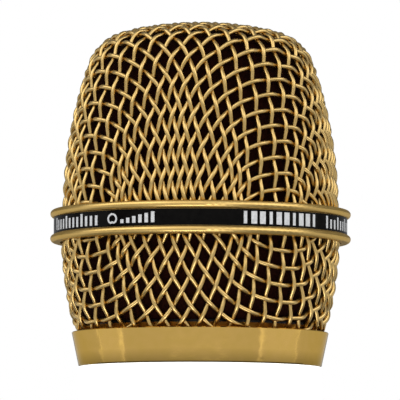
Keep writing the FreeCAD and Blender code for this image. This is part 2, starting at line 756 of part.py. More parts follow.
def make_lead(name, side):
    """One insulated lead, from a post of the capsule down to the contact board."""
    near, far = side * value_of("post_offset"), side * value_of("lead_board")
    route = [
        Vector(near, 0, value_of("post_foot - fixed_gap")),
        Vector(near, 0, value_of("lead_high")),
        Vector(far, 0, value_of("lead_low")),
        Vector(far, 0, value_of("board_seat + fixed_gap + board_wall")),
    ]
    edges, start = [], route[0]
    for before, corner, after in zip(route, route[1:], route[2:]):
        reach = BEND_SHARE * min((before - corner).Length, (after - corner).Length)
        back, ahead = Vector(before - corner).normalize(), Vector(after - corner).normalize()
        half = back.getAngle(ahead) / 2
        bend = reach * math.tan(half)
        middle = corner + Vector(back + ahead).normalize() * (bend / math.sin(half) - bend)
        first, last = corner + back * reach, corner + ahead * reach
        edges += [Part.LineSegment(start, first).toShape(), Part.Arc(first, middle, last).toShape()]
        start = last
    edges.append(Part.LineSegment(start, route[-1]).toShape())
    path = Part.Wire(edges)
    section = Part.Wire(Part.Circle(route[0], Vector(0, 0, -1), value_of("lead_radius")).toShape())
    tube = path.makePipeShell([section], True, True)
    expected = path.Length * math.pi * value_of("lead_radius") ** 2
    if abs(tube.Volume / expected - 1) > VOLUME_TOLERANCE:
        raise RuntimeError(name + " has the wrong volume")
    print(f"{name}: {path.Length:.2f} mm long, bends of {bend:.2f} mm")
    lead = doc.addObject("Part::Feature", name)
    lead.Label = name
    lead.Shape = tube
    lead.Placement = FreeCAD.Placement()
    sub_parts.append(lead)


# ---------------------------------------------------------------- capsule


def make_capsule_housing():
    """The capsule's cup, with its rear ports round the side."""
    floor_top = "capsule_foot + capsule_floor"
    body = turned(
        "capsule_housing",
        [
            ("post_hole", "capsule_foot"),
            ("capsule_radius", "capsule_foot"),
            ("capsule_radius", "capsule_top"),
            ("capsule_bore", "capsule_top"),
            ("capsule_bore", floor_top),
            ("post_hole", floor_top),
        ],
    )
    reach = "capsule_radius + cut_reach"
    cut_ports(body, "rear_port", "port_foot", "port_height", "port_width", reach, "port_count")


def make_terminal_board():
    """The small board in the foot of the capsule, with a hole for each post."""
    body = new_body("terminal_board")
    sketch = new_sketch(body, "terminal_outline", "XZ_Plane")
    top = "terminal_foot + terminal_wall"
    outline = [("0", "terminal_foot"), ("insert_radius", "terminal_foot"), ("insert_radius", top), ("0", top)]
    draw_outline(sketch, outline)
    spin(body, sketch)
    hole = ("post_offset", "post_radius + fixed_gap / 2", "terminal_foot", top, "post_count")
    drill(body, "post_eye", *hole)


def make_posts():
    """The two solder posts that stand in the terminal board."""
    posts = doc.addObject("Part::Compound", "solder_posts")
    posts.Label = "solder_posts"
    pair = []
    for side in (-1, 1):
        post = doc.addObject("Part::Cylinder", "post_left" if side < 0 else "post_right")
        post.setExpression("Radius", bound("post_radius"))
        post.setExpression("Height", bound("post_top - post_foot"))
        post.setExpression("Placement.Base.x", bound(f"{side} * post_offset"))
        post.setExpression("Placement.Base.z", bound("post_foot"))
        pair.append(post)
    posts.Links = pair
    sub_parts.append(posts)


def make_rear_cup():
    """The cup that holds the air behind the magnet, vented through its floor."""
    floor_top = "cup_foot + cup_wall"
    turned(
        "rear_cup",
        [
            ("cup_vent", "cup_foot"),
            ("insert_radius", "cup_foot"),
            ("insert_radius", "cup_top"),
            ("insert_radius - cup_wall", "cup_top"),
            ("insert_radius - cup_wall", floor_top),
            ("cup_vent", floor_top),
        ],
    )


def make_rear_felt():
    """The felt between the rear cup and the basket."""
    foot = "cup_top + fixed_gap"
    ring("rear_felt", "felt_inner", "insert_radius", foot, f"{foot} + felt_wall")


def make_basket():
    """The moulded basket that centres the magnet system, open behind the rear ports."""
    floor_top = "basket_foot + basket_floor"
    body = turned(
        "basket",
        [
            ("basket_eye", "basket_foot"),
            ("insert_radius", "basket_foot"),
            ("insert_radius", "basket_top"),
            ("basket_bore", "basket_top"),
            ("basket_bore", floor_top),
            ("basket_eye", floor_top),
        ],
    )
    window = (f"{floor_top} + window_sill", "port_height", "port_width", "insert_radius + cut_reach", "port_count")
    cut_ports(body, "basket_window", *window)


def make_magnet_system():
    """Yoke, magnet and pole plate, with the coil's gap round the plate."""
    floor_top, top = "yoke_foot + yoke_floor", "yoke_foot + yoke_height"
    turned(
        "yoke",
        [
            ("0", "yoke_foot"),
            ("yoke_radius", "yoke_foot"),
            ("yoke_radius", top),
            ("yoke_bore", top),
            ("yoke_bore", floor_top),
            ("0", floor_top),
        ],
    )
    disc("magnet", "magnet_radius", floor_top, "magnet_height")
    disc("pole_plate", "pole_radius", f"{floor_top} + magnet_height", "pole_height")


def make_diaphragm():
    """The thin dome with its roll and its rim."""
    low, high = "film_height", "film_height + film"
    inner, outer = "roll_inner + film", "roll_outer - film"
    dome = "(film_dome ^ 2 + film_rise ^ 2) / (2 * film_rise)"
    turned(
        "diaphragm",
        [
            ("0", f"{high} + film_rise", dome, -1),
            ("film_dome", high),
            ("roll_inner", high, "roll_radius", -1),
            ("roll_outer", high),
            ("film_radius", high),
            ("film_radius", low),
            (outer, low, "roll_radius - film", 1),
            (inner, low),
            ("film_dome", low, dome, 1),
            ("0", f"{low} + film_rise"),
        ],
    )


def make_voice_coil():
    """The coil that hangs from the diaphragm into the gap."""
    ring("voice_coil", "coil_inner", "coil_outer", "coil_foot", "film_height")


def make_keeper_ring():
    """The ring over the diaphragm's rim."""
    ring("keeper_ring", "keeper_inner", "insert_radius", "keeper_foot", "keeper_foot + keeper_height")


def make_capsule_cap():
    """The pierced cap over the front of the capsule."""
    top = "cap_foot + cap_wall"
    body = turned(
        "capsule_cap",
        [
            ("0", "cap_foot"),
            ("cap_bore", "cap_foot"),
            ("cap_bore", "cap_skirt_foot"),
            ("insert_radius", "cap_skirt_foot"),
            ("insert_radius", "cap_foot"),
            ("capsule_radius", "cap_foot"),
            ("capsule_radius", top),
            ("0", top),
        ],
    )
    drill(body, "cap_middle", "0", "cap_centre_hole", "cap_foot", top)
    for name in ("inner", "outer"):
        hole = (f"cap_{name}_circle", "cap_hole", "cap_foot", top, f"cap_{name}_count")
        drill(body, f"cap_{name}", *hole)


def make_front_cloth():
    """The acoustic cloth under the cap."""
    disc("front_cloth", "cloth_radius", "cap_foot - fixed_gap - cloth_wall", "cloth_wall")


# ---------------------------------------------------------------- build


def build():
    """Makes every sub-part."""
    fill_sheet()
    make_upper_mesh()
    make_lower_mesh()
    make_band_ring()
    make_band_label()
    make_seam_hoop()
    make_base_ring()
    make_clamp_ring()
    make_dome_foam()
    make_skirt_foam()
    make_slip_washer()
    make_hub()
    make_contact_board()
    make_contact_rings()
    make_cradle()
    make_cradle_screws()
    make_shock_rings()
    make_lead("lead_signal", 1)
    make_lead("lead_return", -1)
    make_capsule_housing()
    make_terminal_board()
    make_posts()
    make_rear_cup()
    make_rear_felt()
    make_basket()
    make_magnet_system()
    make_diaphragm()
    make_voice_coil()
    make_keeper_ring()
    make_capsule_cap()
    make_front_cloth()
    doc.recompute()


def check():
    """Stops the build at an object that failed or a sub-part with no sound shape."""
    for item in doc.Objects:
        if {"Invalid", "Error"} & set(item.State):
            raise RuntimeError(f"{item.Name} failed: {item.State}")
    for item in sub_parts:
        if item.Shape.isNull() or not item.Shape.isValid() or item.Shape.Volume <= 0:
            raise RuntimeError(item.Label + " has no valid shape")


def write():
    """Writes each sub-part to a STEP file with its own name."""
    os.makedirs("parts", exist_ok=True)
    for item in sub_parts:
        item.Shape.exportStep(f"parts/{item.Label}.step")
        print(f"{item.Label}: {len(item.Shape.Solids)} solid(s), {item.Shape.Volume:.2f} mm3")


build()
check()
write()
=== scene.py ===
"""The looks of a hand-held dynamic microphone head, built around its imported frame.

Blender's lengths are metres. The weave, foam, marks, thread and stage are worked out in millimetres, in
the frame's own axes: +Z up from the foot, the front towards -Y.
"""

import json
import math

import bpy
import numpy as np
from mathutils import Matrix, Vector, noise


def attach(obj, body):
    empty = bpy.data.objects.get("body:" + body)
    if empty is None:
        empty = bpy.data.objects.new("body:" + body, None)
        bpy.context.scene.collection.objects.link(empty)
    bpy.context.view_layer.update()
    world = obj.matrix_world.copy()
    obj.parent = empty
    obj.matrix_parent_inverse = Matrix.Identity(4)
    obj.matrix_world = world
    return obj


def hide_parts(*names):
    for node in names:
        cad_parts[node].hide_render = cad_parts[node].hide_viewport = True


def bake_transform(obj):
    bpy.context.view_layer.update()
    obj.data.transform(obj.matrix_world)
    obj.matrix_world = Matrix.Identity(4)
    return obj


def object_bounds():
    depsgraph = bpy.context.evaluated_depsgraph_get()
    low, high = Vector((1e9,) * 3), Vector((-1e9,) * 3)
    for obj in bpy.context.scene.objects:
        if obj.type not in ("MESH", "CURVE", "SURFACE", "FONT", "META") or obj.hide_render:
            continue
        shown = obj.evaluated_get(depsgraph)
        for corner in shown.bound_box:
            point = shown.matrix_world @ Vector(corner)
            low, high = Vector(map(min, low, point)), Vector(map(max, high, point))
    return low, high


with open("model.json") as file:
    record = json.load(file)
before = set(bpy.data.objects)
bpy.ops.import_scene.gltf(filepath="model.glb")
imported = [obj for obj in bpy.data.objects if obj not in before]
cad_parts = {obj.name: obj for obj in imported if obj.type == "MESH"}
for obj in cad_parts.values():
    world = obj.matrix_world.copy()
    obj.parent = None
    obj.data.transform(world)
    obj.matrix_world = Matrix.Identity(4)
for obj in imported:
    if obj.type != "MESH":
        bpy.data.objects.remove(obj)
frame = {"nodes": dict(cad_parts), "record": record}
cad_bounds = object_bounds()

MM = 0.001
TINY = 1e-9


# ---------------------------------------------------------------- meshes

def make_piece(name, points, faces, material, smooth=True):
    """A mesh object from points in millimetres."""
    mesh = bpy.data.meshes.new(name)
    mesh.from_pydata((np.asarray(points) * MM).tolist(), [], faces)
    mesh.validate()
    mesh.polygons.foreach_set("use_smooth", [smooth] * len(mesh.polygons))
    mesh.materials.append(material)
    piece = bpy.data.objects.new(name, mesh)
    bpy.context.collection.objects.link(piece)
    return piece


def unit(vectors):
    return vectors / np.linalg.norm(vectors, axis=-1, keepdims=True)


def ring_faces(rows, columns, first=0, closed_rows=False):
    """Quads between rows of points that each close on themselves."""
    faces = []
    for row in range(rows if closed_rows else rows - 1):
        here = first + row * columns
        there = first + (row + 1) % rows * columns
        for column in range(columns):
            after = (column + 1) % columns
            faces.append((here + column, here + after, there + after, there + column))
    return faces


def tube(line, outward, radius, sides, first):
    """A closed round rod along a line: its points and its faces."""
    along = unit(np.gradient(line, axis=0))
    side = unit(np.cross(along, outward))
    lift = np.cross(side, along)
    angle = np.arange(sides) * 2 * math.pi / sides
    spokes = np.cos(angle)[None, :, None] * lift[:, None] + np.sin(angle)[None, :, None] * side[:, None]
    points = (line[:, None] + radius * spokes).reshape(-1, 3)
    faces = ring_faces(len(line), sides, first)
    last = first + (len(line) - 1) * sides
    faces.append(tuple(range(first + sides - 1, first - 1, -1)))
    faces.append(tuple(range(last, last + sides)))
    return points, faces


def turned(name, outline, count, material):
    """A ring turned from a closed outline of (radius, height) points that runs clockwise seen from -Y."""
    angle = np.arange(count) * 2 * math.pi / count
    outline = np.asarray(outline)
    points = np.stack([
        outline[:, None, 0] * np.cos(angle),
        outline[:, None, 0] * np.sin(angle),
        np.broadcast_to(outline[:, None, 1], (len(outline), count)),
    ], -1)
    faces = ring_faces(len(outline), count, closed_rows=True)
    return make_piece(name, points.reshape(-1, 3), faces, material)


# ---------------------------------------------------------------- outlines read from the frame

def node_points(node):
    """(radius, height) of every vertex of a turned node, in millimetres."""
    mesh = frame["nodes"][node].data
    flat = np.empty(3 * len(mesh.vertices))
    mesh.vertices.foreach_get("co", flat)
    places = flat.reshape(-1, 3) / MM
    pairs = np.stack([np.hypot(places[:, 0], places[:, 1]), places[:, 2]], 1)
    return np.unique(np.round(pairs, 3), axis=0)


def outer_skin(pairs):
    """The outer side of a convex turned piece, from its lowest point to its highest."""
    chain = []
    for radius, height in sorted(pairs.tolist(), key=lambda pair: (pair[1], -pair[0])):
        while len(chain) > 1:
            (r0, z0), (r1, z1) = chain[-2:]
            if (r1 - r0) * (height - z0) - (z1 - z0) * (radius - r0) > 0:
                break
            chain.pop()
        if not chain or height > chain[-1][1]:
            chain.append((radius, height))
    return np.array(chain)


def circle_through(a, b, c):
    """Centre and radius of the circle through three points of a plane."""
    rows = np.array([b - a, c - a])
    centre = np.linalg.solve(2 * rows, (rows * (rows + 2 * a)).sum(1))
    return centre, np.linalg.norm(a - centre)


# ---------------------------------------------------------------- woven wire

WIRE_RADIUS = 0.36
CRIMP = 0.32  # how far a wire's middle swings each way as it passes over and under
MESH_DEPTH = CRIMP + WIRE_RADIUS  # from the mesh's middle to its outer face
WIRE_SIDES = 8
SAMPLES_PER_CELL = 5
RUN_ON = 3.0  # how far the net goes on past a rim, so that every wire reaches the rim

PROFILE_STEP = 0.1
NET_STEP = 0.5
NEWTON_ROUNDS = 10
NUDGE = 1e-4
NET_TOLERANCE = NET_STEP ** 2 / 50
LEAST_GAP = NET_STEP / 7
LEAST_CUT = 0.1  # of the way to the next point: a shorter stretch up to a rim is left off

# The reach is how far the net goes along its two wires through the pole. The pitches are those of the two
# families of wires, and the shifts say where each family's middle wire lies, in pitches. The corner is the
# angle in degrees at which the families cross at the pole, and the turn is that of the whole net about it.
# The opening says from what distance, by what distance and how far crowded meshes are opened.
DOME_WEAVE = {
    "reach": 56,
    "pitches": (2.66, 2.54),
    "shifts": (0.64, 0.56),
    "corner": 77,
    "opening": {"start": 22, "full": 46, "share": 1.0},
    "turn": 41.5,
}
SKIRT_WEAVE = {
    "reach": 50,
    "pitches": (2.59, 2.68),
    "shifts": (0.64, 0.80),
    "corner": 81.5,
    "opening": {"start": 20, "full": 42, "share": 1.2},
    "turn": 41,
}


class Surface:
    """A turned surface from its pole outwards: radius and height against the distance along it."""

    def __init__(self, outline):
        step = np.hypot(*np.diff(outline, axis=0).T)
        along = np.concatenate([[0.0], np.cumsum(step)])
        self.distance = np.arange(0.0, along[-1], PROFILE_STEP)
        self.radius = np.interp(self.distance, along, outline[:, 0])
        self.height = np.interp(self.distance, along, outline[:, 1])
        self.rise = np.gradient(self.height, PROFILE_STEP)
        self.spread = np.gradient(self.radius, PROFILE_STEP)
        self.side = 1 if outline[-1, 1] < outline[0, 1] else -1

    def point(self, flat):
        """The point whose distance and direction from the pole are those of a flat point from the origin."""
        distance = np.hypot(flat[..., 0], flat[..., 1])
        scale = np.interp(distance, self.distance, self.radius) / np.maximum(distance, TINY)
        height = np.interp(distance, self.distance, self.height)
        return np.stack([flat[..., 0] * scale, flat[..., 1] * scale, height], -1)

    def normal(self, flat):
        """The outward direction at such a point."""
        distance = np.hypot(flat[..., 0], flat[..., 1])
        outward = -self.side * np.interp(distance, self.distance, self.rise)
        upward = self.side * np.interp(distance, self.distance, self.spread)
        spoke = flat / np.maximum(distance, TINY)[..., None]
        return unit(np.concatenate([spoke * outward[..., None], upward[..., None]], -1))


class Net:
    """A net of even mesh pressed over a turned surface, as woven wire takes a dome.

    Two wires run straight through the pole and cross there at the corner angle. Every other knot lies
    one step from two knots already placed, so the meshes shear into diamonds where the net is pressed
    round a corner. Two neighbouring quarters are worked out, one diagonal of knots after another, and
    half a turn about the pole gives the other two.
    """

    def __init__(self, surface, reach, corner):
        self.surface = surface
        self.count = int(reach / NET_STEP)
        angle = math.radians(corner)
        self.sharp = self.quarter(angle)
        self.blunt = self.quarter(math.pi - angle) * (1, -1)

    def quarter(self, angle):
        """The flat places of the knots between two wires that leave the pole at an angle."""
        size = self.count + 1
        knots = np.full((size, size, 2), np.nan)
        steps = np.arange(size)[:, None] * NET_STEP
        knots[:, 0] = steps * (1, 0)
        knots[0, :] = steps * (math.cos(angle), math.sin(angle))
        for diagonal in range(2, 2 * self.count + 1):
            self.place(knots, diagonal)
        return knots

    def place(self, knots, diagonal):
        """Works out one diagonal of knots from the two before it, by Newton's method."""
        row = np.arange(max(1, diagonal - self.count), min(self.count, diagonal - 1) + 1)
        column = diagonal - row
        before, beside = knots[row - 1, column], knots[row, column - 1]
        behind = knots[row - 1, column - 1]
        known = ~np.isnan(before + beside + behind).any(1)
        row, column = row[known], column[known]
        before, beside, behind = before[known], beside[known], behind[known]
        ends = self.surface.point(before), self.surface.point(beside)
        guess = before + beside - behind
        for _ in range(NEWTON_ROUNDS):
            miss = self.miss(guess, ends)
            slope = np.stack([
                (self.miss(guess + nudge, ends) - miss) / NUDGE
                for nudge in (np.array([NUDGE, 0.0]), np.array([0.0, NUDGE]))
            ], -1)
            locked = np.abs(np.linalg.det(slope)) < TINY
            slope[locked] = np.eye(2)
            move = -np.linalg.solve(slope, miss[..., None])[..., 0]
            length = np.linalg.norm(move, axis=1, keepdims=True)
            guess = guess + move * np.minimum(1, NET_STEP / 2 / np.maximum(length, TINY))
        settled = np.abs(self.miss(guess, ends)).max(1) < NET_TOLERANCE
        apart = np.linalg.norm(guess - behind, axis=1) > LEAST_GAP
        guess[~(settled & apart)] = np.nan
        knots[row, column] = guess

    def miss(self, guess, ends):
        """How far each knot is from lying one step from both neighbours."""
        place = self.surface.point(guess)
        return np.stack([((place - end) ** 2).sum(-1) - NET_STEP ** 2 for end in ends], -1)

    def at(self, across, along):
        """The flat point at a place given in millimetres along the two wires through the pole."""
        column, row = np.abs(along) / NET_STEP, np.abs(across) / NET_STEP
        i = np.minimum(row.astype(int), self.count - 1)
        j = np.minimum(column.astype(int), self.count - 1)
        u, v = (row - i)[:, None], (column - j)[:, None]
        same = ((across < 0) == (along < 0))[:, None]
        sides = []
        for knots in (self.sharp, self.blunt):
            near = knots[i, j] * (1 - v) + knots[i, j + 1] * v
            far = knots[i + 1, j] * (1 - v) + knots[i + 1, j + 1] * v
            sides.append(near * (1 - u) + far * u)
        return np.where(same, *sides) * np.where(across < 0, -1, 1)[:, None]


def kept_open(flat, corner, start, full, share):
    """Flat points swung round the pole where crowded wires keep each other apart.

    A plain net closes most half-way between the two wires through the pole. There its meshes are
    opened again by a share, and their neighbours on both sides close by half of it.
    """
    sharp = math.radians(corner)
    angle = np.arctan2(flat[:, 1], flat[:, 0]) % math.pi
    span = np.where(angle < sharp, sharp, math.pi - sharp)
    place = np.where(angle < sharp, angle, angle - sharp) / span * 2 * math.pi
    ramp = np.clip((np.hypot(*flat.T) - start) / (full - start), 0, 1)
    ramp = ramp * ramp * (3 - 2 * ramp)
    swing = ramp * share * span * (np.sin(2 * place) / 2 - np.sin(place)) / (4 * math.pi)
    cos, sin = np.cos(swing), np.sin(swing)
    return np.stack([cos * flat[:, 0] - sin * flat[:, 1], sin * flat[:, 0] + cos * flat[:, 1]], 1)


def clipped_runs(points, normals, low, high):
    """The stretches of a line between two heights, each cut exactly at the height where it leaves."""
    height = points[:, 2]
    inside = (height >= low) & (height <= high)
    starts = np.flatnonzero(inside & ~np.concatenate([[False], inside[:-1]]))
    ends = np.flatnonzero(inside & ~np.concatenate([inside[1:], [False]]))
    for start, end in zip(starts, ends):
        run, outward = points[start:end + 1], normals[start:end + 1]
        for outside, edge, place in ((start - 1, start, 0), (end + 1, end, len(run))):
            if not 0 <= outside < len(points) or np.isnan(height[outside]):
                continue
            limit = low if height[outside] < low else high
            share = (limit - height[edge]) / (height[outside] - height[edge])
            cut = points[edge] + share * (points[outside] - points[edge])
            if share > LEAST_CUT:
                run = np.insert(run, place if place == 0 else len(run), cut, axis=0)
                outward = np.insert(outward, place if place == 0 else len(outward), normals[edge], axis=0)
        if len(run) > 2:
            yield run, outward


def weave(name, surface, low, high, material, reach, pitches, shifts, corner, opening, turn):
    """Plain-woven wire over a surface: two families of wires that pass over and under each other."""
    net = Net(surface, reach, corner)
    spin = np.array(Matrix.Rotation(math.radians(turn), 3, "Z"))
    points, faces = [], []
    total = 0
    for family in (0, 1):
        pitch, cross = pitches[family], pitches[1 - family]
        step = cross / SAMPLES_PER_CELL
        along = np.arange(-reach, reach, step)
        last = int(reach / pitch)
        for index in range(-last, last + 1):
            across = np.full_like(along, (index + shifts[family]) * pitch)
            flat = net.at(across, along) if family == 0 else net.at(along, across)
            flat = kept_open(flat, corner, **opening)
            line = surface.point(flat)
            outward = surface.normal(flat)
            sign = (-1) ** (index + family)
            wave = sign * np.cos(math.pi * (along / cross - shifts[1 - family]))
            line = line + CRIMP * wave[:, None] * outward
            line, outward = line @ spin.T, outward @ spin.T
            for run, side in clipped_runs(line, outward, low, high):
                made, skin = tube(run, side, WIRE_RADIUS, WIRE_SIDES, total)
                points.append(made)
                faces += skin
                total += len(made)
    return make_piece(name, np.concatenate(points), faces, material)


def inset(outline, depth):
    """An outline moved inwards, to the side that the pole's underside faces."""
    along = unit(np.gradient(outline, axis=0))
    side = 1 if outline[-1, 1] < outline[0, 1] else -1
    inward = np.stack([side * along[:, 1], -side * along[:, 0]], 1)
    moved = outline + depth * inward
    moved[0, 0] = max(0.0, moved[0, 0])
    return moved


SAME_HEIGHT = 0.01


def wall_of(pairs, height):
    """Thickness of a turned shell at the edge that lies at one height."""
    edge = pairs[np.abs(pairs[:, 1] - height) < SAME_HEIGHT, 0]
    return edge.max() - edge.min()


def make_dome_weave(material):
    """Woven wire with the dome's outer skin, cut off at its rim."""
    skin = outer_skin(node_points("upper_mesh"))[::-1]
    rim = skin[-1, 1]
    below_rim = np.array([[skin[-1, 0], rim - RUN_ON]])
    surface = Surface(inset(np.concatenate([skin, below_rim]), MESH_DEPTH))
    piece = weave("upper_weave", surface, rim, math.inf, material, **DOME_WEAVE)
    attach(piece, "grille")
    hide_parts("upper_mesh")


CUP_FLOOR_POINTS = 40
CUP_CORNER_POINTS = 20
CUP_CORNER_SWEEP = (-90, -37)  # degrees round the corner's centre, from straight below it
CUP_CORNER_GAP = 0.3  # in height, up to the skin's lowest point


def make_skirt_weave(material):
    """Woven wire with the skirt's outer skin, as if pressed into a cup whose floor is then cut away.

    The skin's lowest points lie on the round corner of that cup. The rest of the corner and the floor
    are added here, so that the net starts at a pole.
    """
    skin = outer_skin(node_points("lower_mesh"))
    foot, rim = skin[0, 1], skin[-1, 1]
    (centre_r, centre_z), radius = circle_through(*skin[:3])
    sweep = np.radians(np.linspace(*CUP_CORNER_SWEEP, CUP_CORNER_POINTS))
    corner = np.stack([centre_r + radius * np.cos(sweep), centre_z + radius * np.sin(sweep)], 1)
    corner = corner[corner[:, 1] < foot - CUP_CORNER_GAP]
    across = np.linspace(0, centre_r, CUP_FLOOR_POINTS)[:-1]
    floor = np.stack([across, np.full_like(across, centre_z - radius)], 1)
    above_rim = np.array([[skin[-1, 0], rim + RUN_ON]])
    surface = Surface(inset(np.concatenate([floor, corner, skin, above_rim]), MESH_DEPTH))
    piece = weave("lower_weave", surface, foot, rim, material, **SKIRT_WEAVE)
    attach(piece, "grille")
    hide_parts("lower_mesh")


# ---------------------------------------------------------------- foam liners

CELL = 0.55
CELL_DEPTH = 0.22
FOAM_STEP = 0.35
CROWN_HOLE = 0.02  # radius left at the dome's crown, where the rings would meet in one point


def make_foam(name, node, material):
    """A foam liner inside the grille: its outer face is open-celled, so it is pitted all over."""
    pairs = node_points(node)
    low, high = pairs[:, 1].min(), pairs[:, 1].max()
    domed = pairs[pairs[:, 1] == high, 0].min() == 0
    skin = outer_skin(pairs)
    wall = wall_of(pairs, low)
    step = np.hypot(*np.diff(skin, axis=0).T)
    along = np.concatenate([[0.0], np.cumsum(step)])
    places = np.linspace(0, along[-1], int(along[-1] / FOAM_STEP))
    outer = np.stack([np.interp(places, along, skin[:, axis]) for axis in (0, 1)], 1)
    slope = unit(np.gradient(outer, axis=0))
    inner = outer + wall * np.stack([-slope[:, 1], slope[:, 0]], 1)
    if domed:
        outer[-1, 0] = inner[-1, 0] = CROWN_HOLE
        inner[-1, 1] = high - wall
    outline = np.concatenate([outer, inner[::-1]])
    count = int(2 * math.pi * skin[:, 0].max() / FOAM_STEP)
    piece = turned(name, outline, count, material)
    for vertex in piece.data.vertices[:(len(outer) - 1) * count]:
        place = vertex.co / MM
        pit = noise.noise(place / CELL) * CELL_DEPTH - CELL_DEPTH
        vertex.co += Vector((place.x, place.y, 0)).normalized() * pit * MM
    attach(piece, "grille")
    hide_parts(node)


# ---------------------------------------------------------------- printed marks on the band

PRINT_PROUD = 0.02
PRINT_SUNK = 0.02


class Print:
    """Flat marks printed round the band: closed patches a few hundredths of a millimetre thick."""

    def __init__(self, node):
        pairs = node_points(node)
        self.radius = pairs[:, 0].max()
        self.middle = (pairs[:, 1].min() + pairs[:, 1].max()) / 2
        self.points, self.faces = [], []

    def wrap(self, across, up, radius):
        """A point given along the band's face and up from its middle line, at some radius."""
        angle = across / self.radius
        return radius * math.sin(angle), -radius * math.cos(angle), self.middle + up

    def loop(self, outline, radius):
        first = len(self.points)
        self.points += [self.wrap(across, up, radius) for across, up in outline]
        return list(range(first, len(self.points)))

    def band(self, near, far):
        """The quads between two loops with the same number of points."""
        for index in range(len(near)):
            after = (index + 1) % len(near)
            self.faces.append((near[index], near[after], far[after], far[index]))

    def patch(self, outline):
        """A filled mark. Its outline runs anticlockwise as the front is seen."""
        front = self.loop(outline, self.radius + PRINT_PROUD)
        back = self.loop(outline, self.radius - PRINT_SUNK)
        self.faces.append(tuple(front))
        self.faces.append(tuple(reversed(back)))
        self.band(back, front)

    def bar(self, azimuth, width, low, high):
        """An upright bar at an azimuth from the front."""
        centre = math.radians(azimuth) * self.radius
        left, right = centre - width / 2, centre + width / 2
        self.patch([(left, low), (right, low), (right, high), (left, high)])

    def outline_mark(self, azimuth, curve, stroke):
        """A closed line of some stroke width. The curve gives points round its own centre."""
        centre = math.radians(azimuth) * self.radius
        curve = np.array(curve)
        along = unit(np.roll(curve, -1, 0) - np.roll(curve, 1, 0))
        outward = np.stack([along[:, 1], -along[:, 0]], 1)
        loops = []
        for radius in (self.radius + PRINT_PROUD, self.radius - PRINT_SUNK):
            for side in (0.5, -0.5):
                moved = curve + side * stroke * outward + (centre, 0)
                loops.append(self.loop(moved.tolist(), radius))
        front_out, front_in, back_out, back_in = loops
        self.band(front_out, front_in)
        self.band(back_in, back_out)
        self.band(back_out, front_out)
        self.band(front_in, back_in)


MARK_HALF = 0.98  # half the height of the tallest mark
THIN = 0.55
WIDE = 0.98

CARDIOID_SIZE = 0.56
CARDIOID_STROKE = 0.30
CARDIOID_POINTS = 40
NOTCH_OPENING = 0.12  # keeps the line from meeting itself at the notch, in sizes
NOTCH_DROP = 0.95  # sets the heart level with the other marks, in sizes

LEVEL_WIDTH = 0.58
LEVEL_FOOT = -0.85 * MARK_HALF
LEVEL_FIRST = 0.60
LEVEL_RISE = 0.22


def cardioid():
    """The heart-shaped pickup pattern, its notch downwards."""
    points = []
    for index in range(CARDIOID_POINTS):
        angle = 2 * math.pi * index / CARDIOID_POINTS
        reach = CARDIOID_SIZE * (1 + math.sin(angle)) + NOTCH_OPENING * CARDIOID_SIZE
        points.append((reach * math.cos(angle), reach * math.sin(angle) - NOTCH_DROP * CARDIOID_SIZE))
    return points


def scale_marks(marks, first, pitch, count, group, short):
    """A scale of thin ticks from an azimuth on. Each group starts with a tall one."""
    for index in range(count):
        tall = MARK_HALF if index % group == 0 else short * MARK_HALF
        marks.bar(first + pitch * index, THIN, -MARK_HALF, tall)


def level_marks(marks, first, pitch, count):
    """Bars that rise one after another, as on a level meter."""
    for index in range(count):
        top = LEVEL_FOOT + LEVEL_FIRST + LEVEL_RISE * index
        marks.bar(first + pitch * index, LEVEL_WIDTH, LEVEL_FOOT, top)


def block_marks(marks, first, pitch, count, group):
    """Full-height blocks. Each group starts with a thin one."""
    for index in range(count):
        wide = WIDE if index % group else THIN
        marks.bar(first + pitch * index, wide, -MARK_HALF, MARK_HALF)


def make_marks(material):
    """Silver marks in place of lettering, the same on the front and on the back.

    Azimuths and pitches are in degrees, and the azimuths run from the middle of each side.
    """
    marks = Print("band_label")
    for side in (0, 180):
        scale_marks(marks, side - 76, pitch=2.9, count=12, group=4, short=0.6)
        marks.outline_mark(side - 36, cardioid(), CARDIOID_STROKE)
        level_marks(marks, side - 31.5, pitch=2.6, count=6)
        block_marks(marks, side + 17.3, pitch=3.55, count=10, group=3)
        scale_marks(marks, side + 58, pitch=3.2, count=9, group=3, short=0.5)
    piece = make_piece("band_marks", marks.points, marks.faces, material, smooth=False)
    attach(piece, "grille")


# ---------------------------------------------------------------- thread inside the hub's mouth

THREAD_PITCH = 1.0
THREAD_HEIGHT = 0.45
THREAD_TURNS = 4.2
THREAD_START = 0.35
THREAD_HALF = 0.45 * THREAD_PITCH
CREST_HALF = 0.06
THREAD_SUNK = 0.05  # how far the ridge's foot lies inside the bore's wall
STEPS_PER_TURN = 96
LEAD_STEPS = 24  # the ridge grows and dies away over a quarter turn
LEAST_HEIGHT = 0.05  # of the full height, at the two ends


def make_handle_thread(material):
    """The female thread that a handle screws into, as a ridge that stands in from the bore."""
    mounts = {mount["name"]: mount for mount in frame["record"]["mounts"]}
    bore = mounts["handle_thread"]["dims"]["r_mm"]
    root = bore + THREAD_SUNK
    count = int(THREAD_TURNS * STEPS_PER_TURN)
    points = []
    for step in range(count + 1):
        turn = step / STEPS_PER_TURN
        angle = 2 * math.pi * turn
        height = THREAD_START + THREAD_HALF + turn * THREAD_PITCH
        lead = min(1.0, step / LEAD_STEPS, (count - step) / LEAD_STEPS)
        crest = bore - THREAD_HEIGHT * max(lead, LEAST_HEIGHT)
        section = (
            (root, height - THREAD_HALF),
            (crest, height - CREST_HALF),
            (crest, height + CREST_HALF),
            (root, height + THREAD_HALF),
        )
        points += [(r * math.cos(angle), r * math.sin(angle), z) for r, z in section]
    corners = len(section)
    faces = ring_faces(count + 1, corners)
    faces += [tuple(reversed(range(corners))), tuple(range(corners * count, corners * (count + 1)))]
    piece = make_piece("handle_thread_ridge", points, faces, material, smooth=False)
    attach(piece, "base")


# ---------------------------------------------------------------- soft parts under the capsule

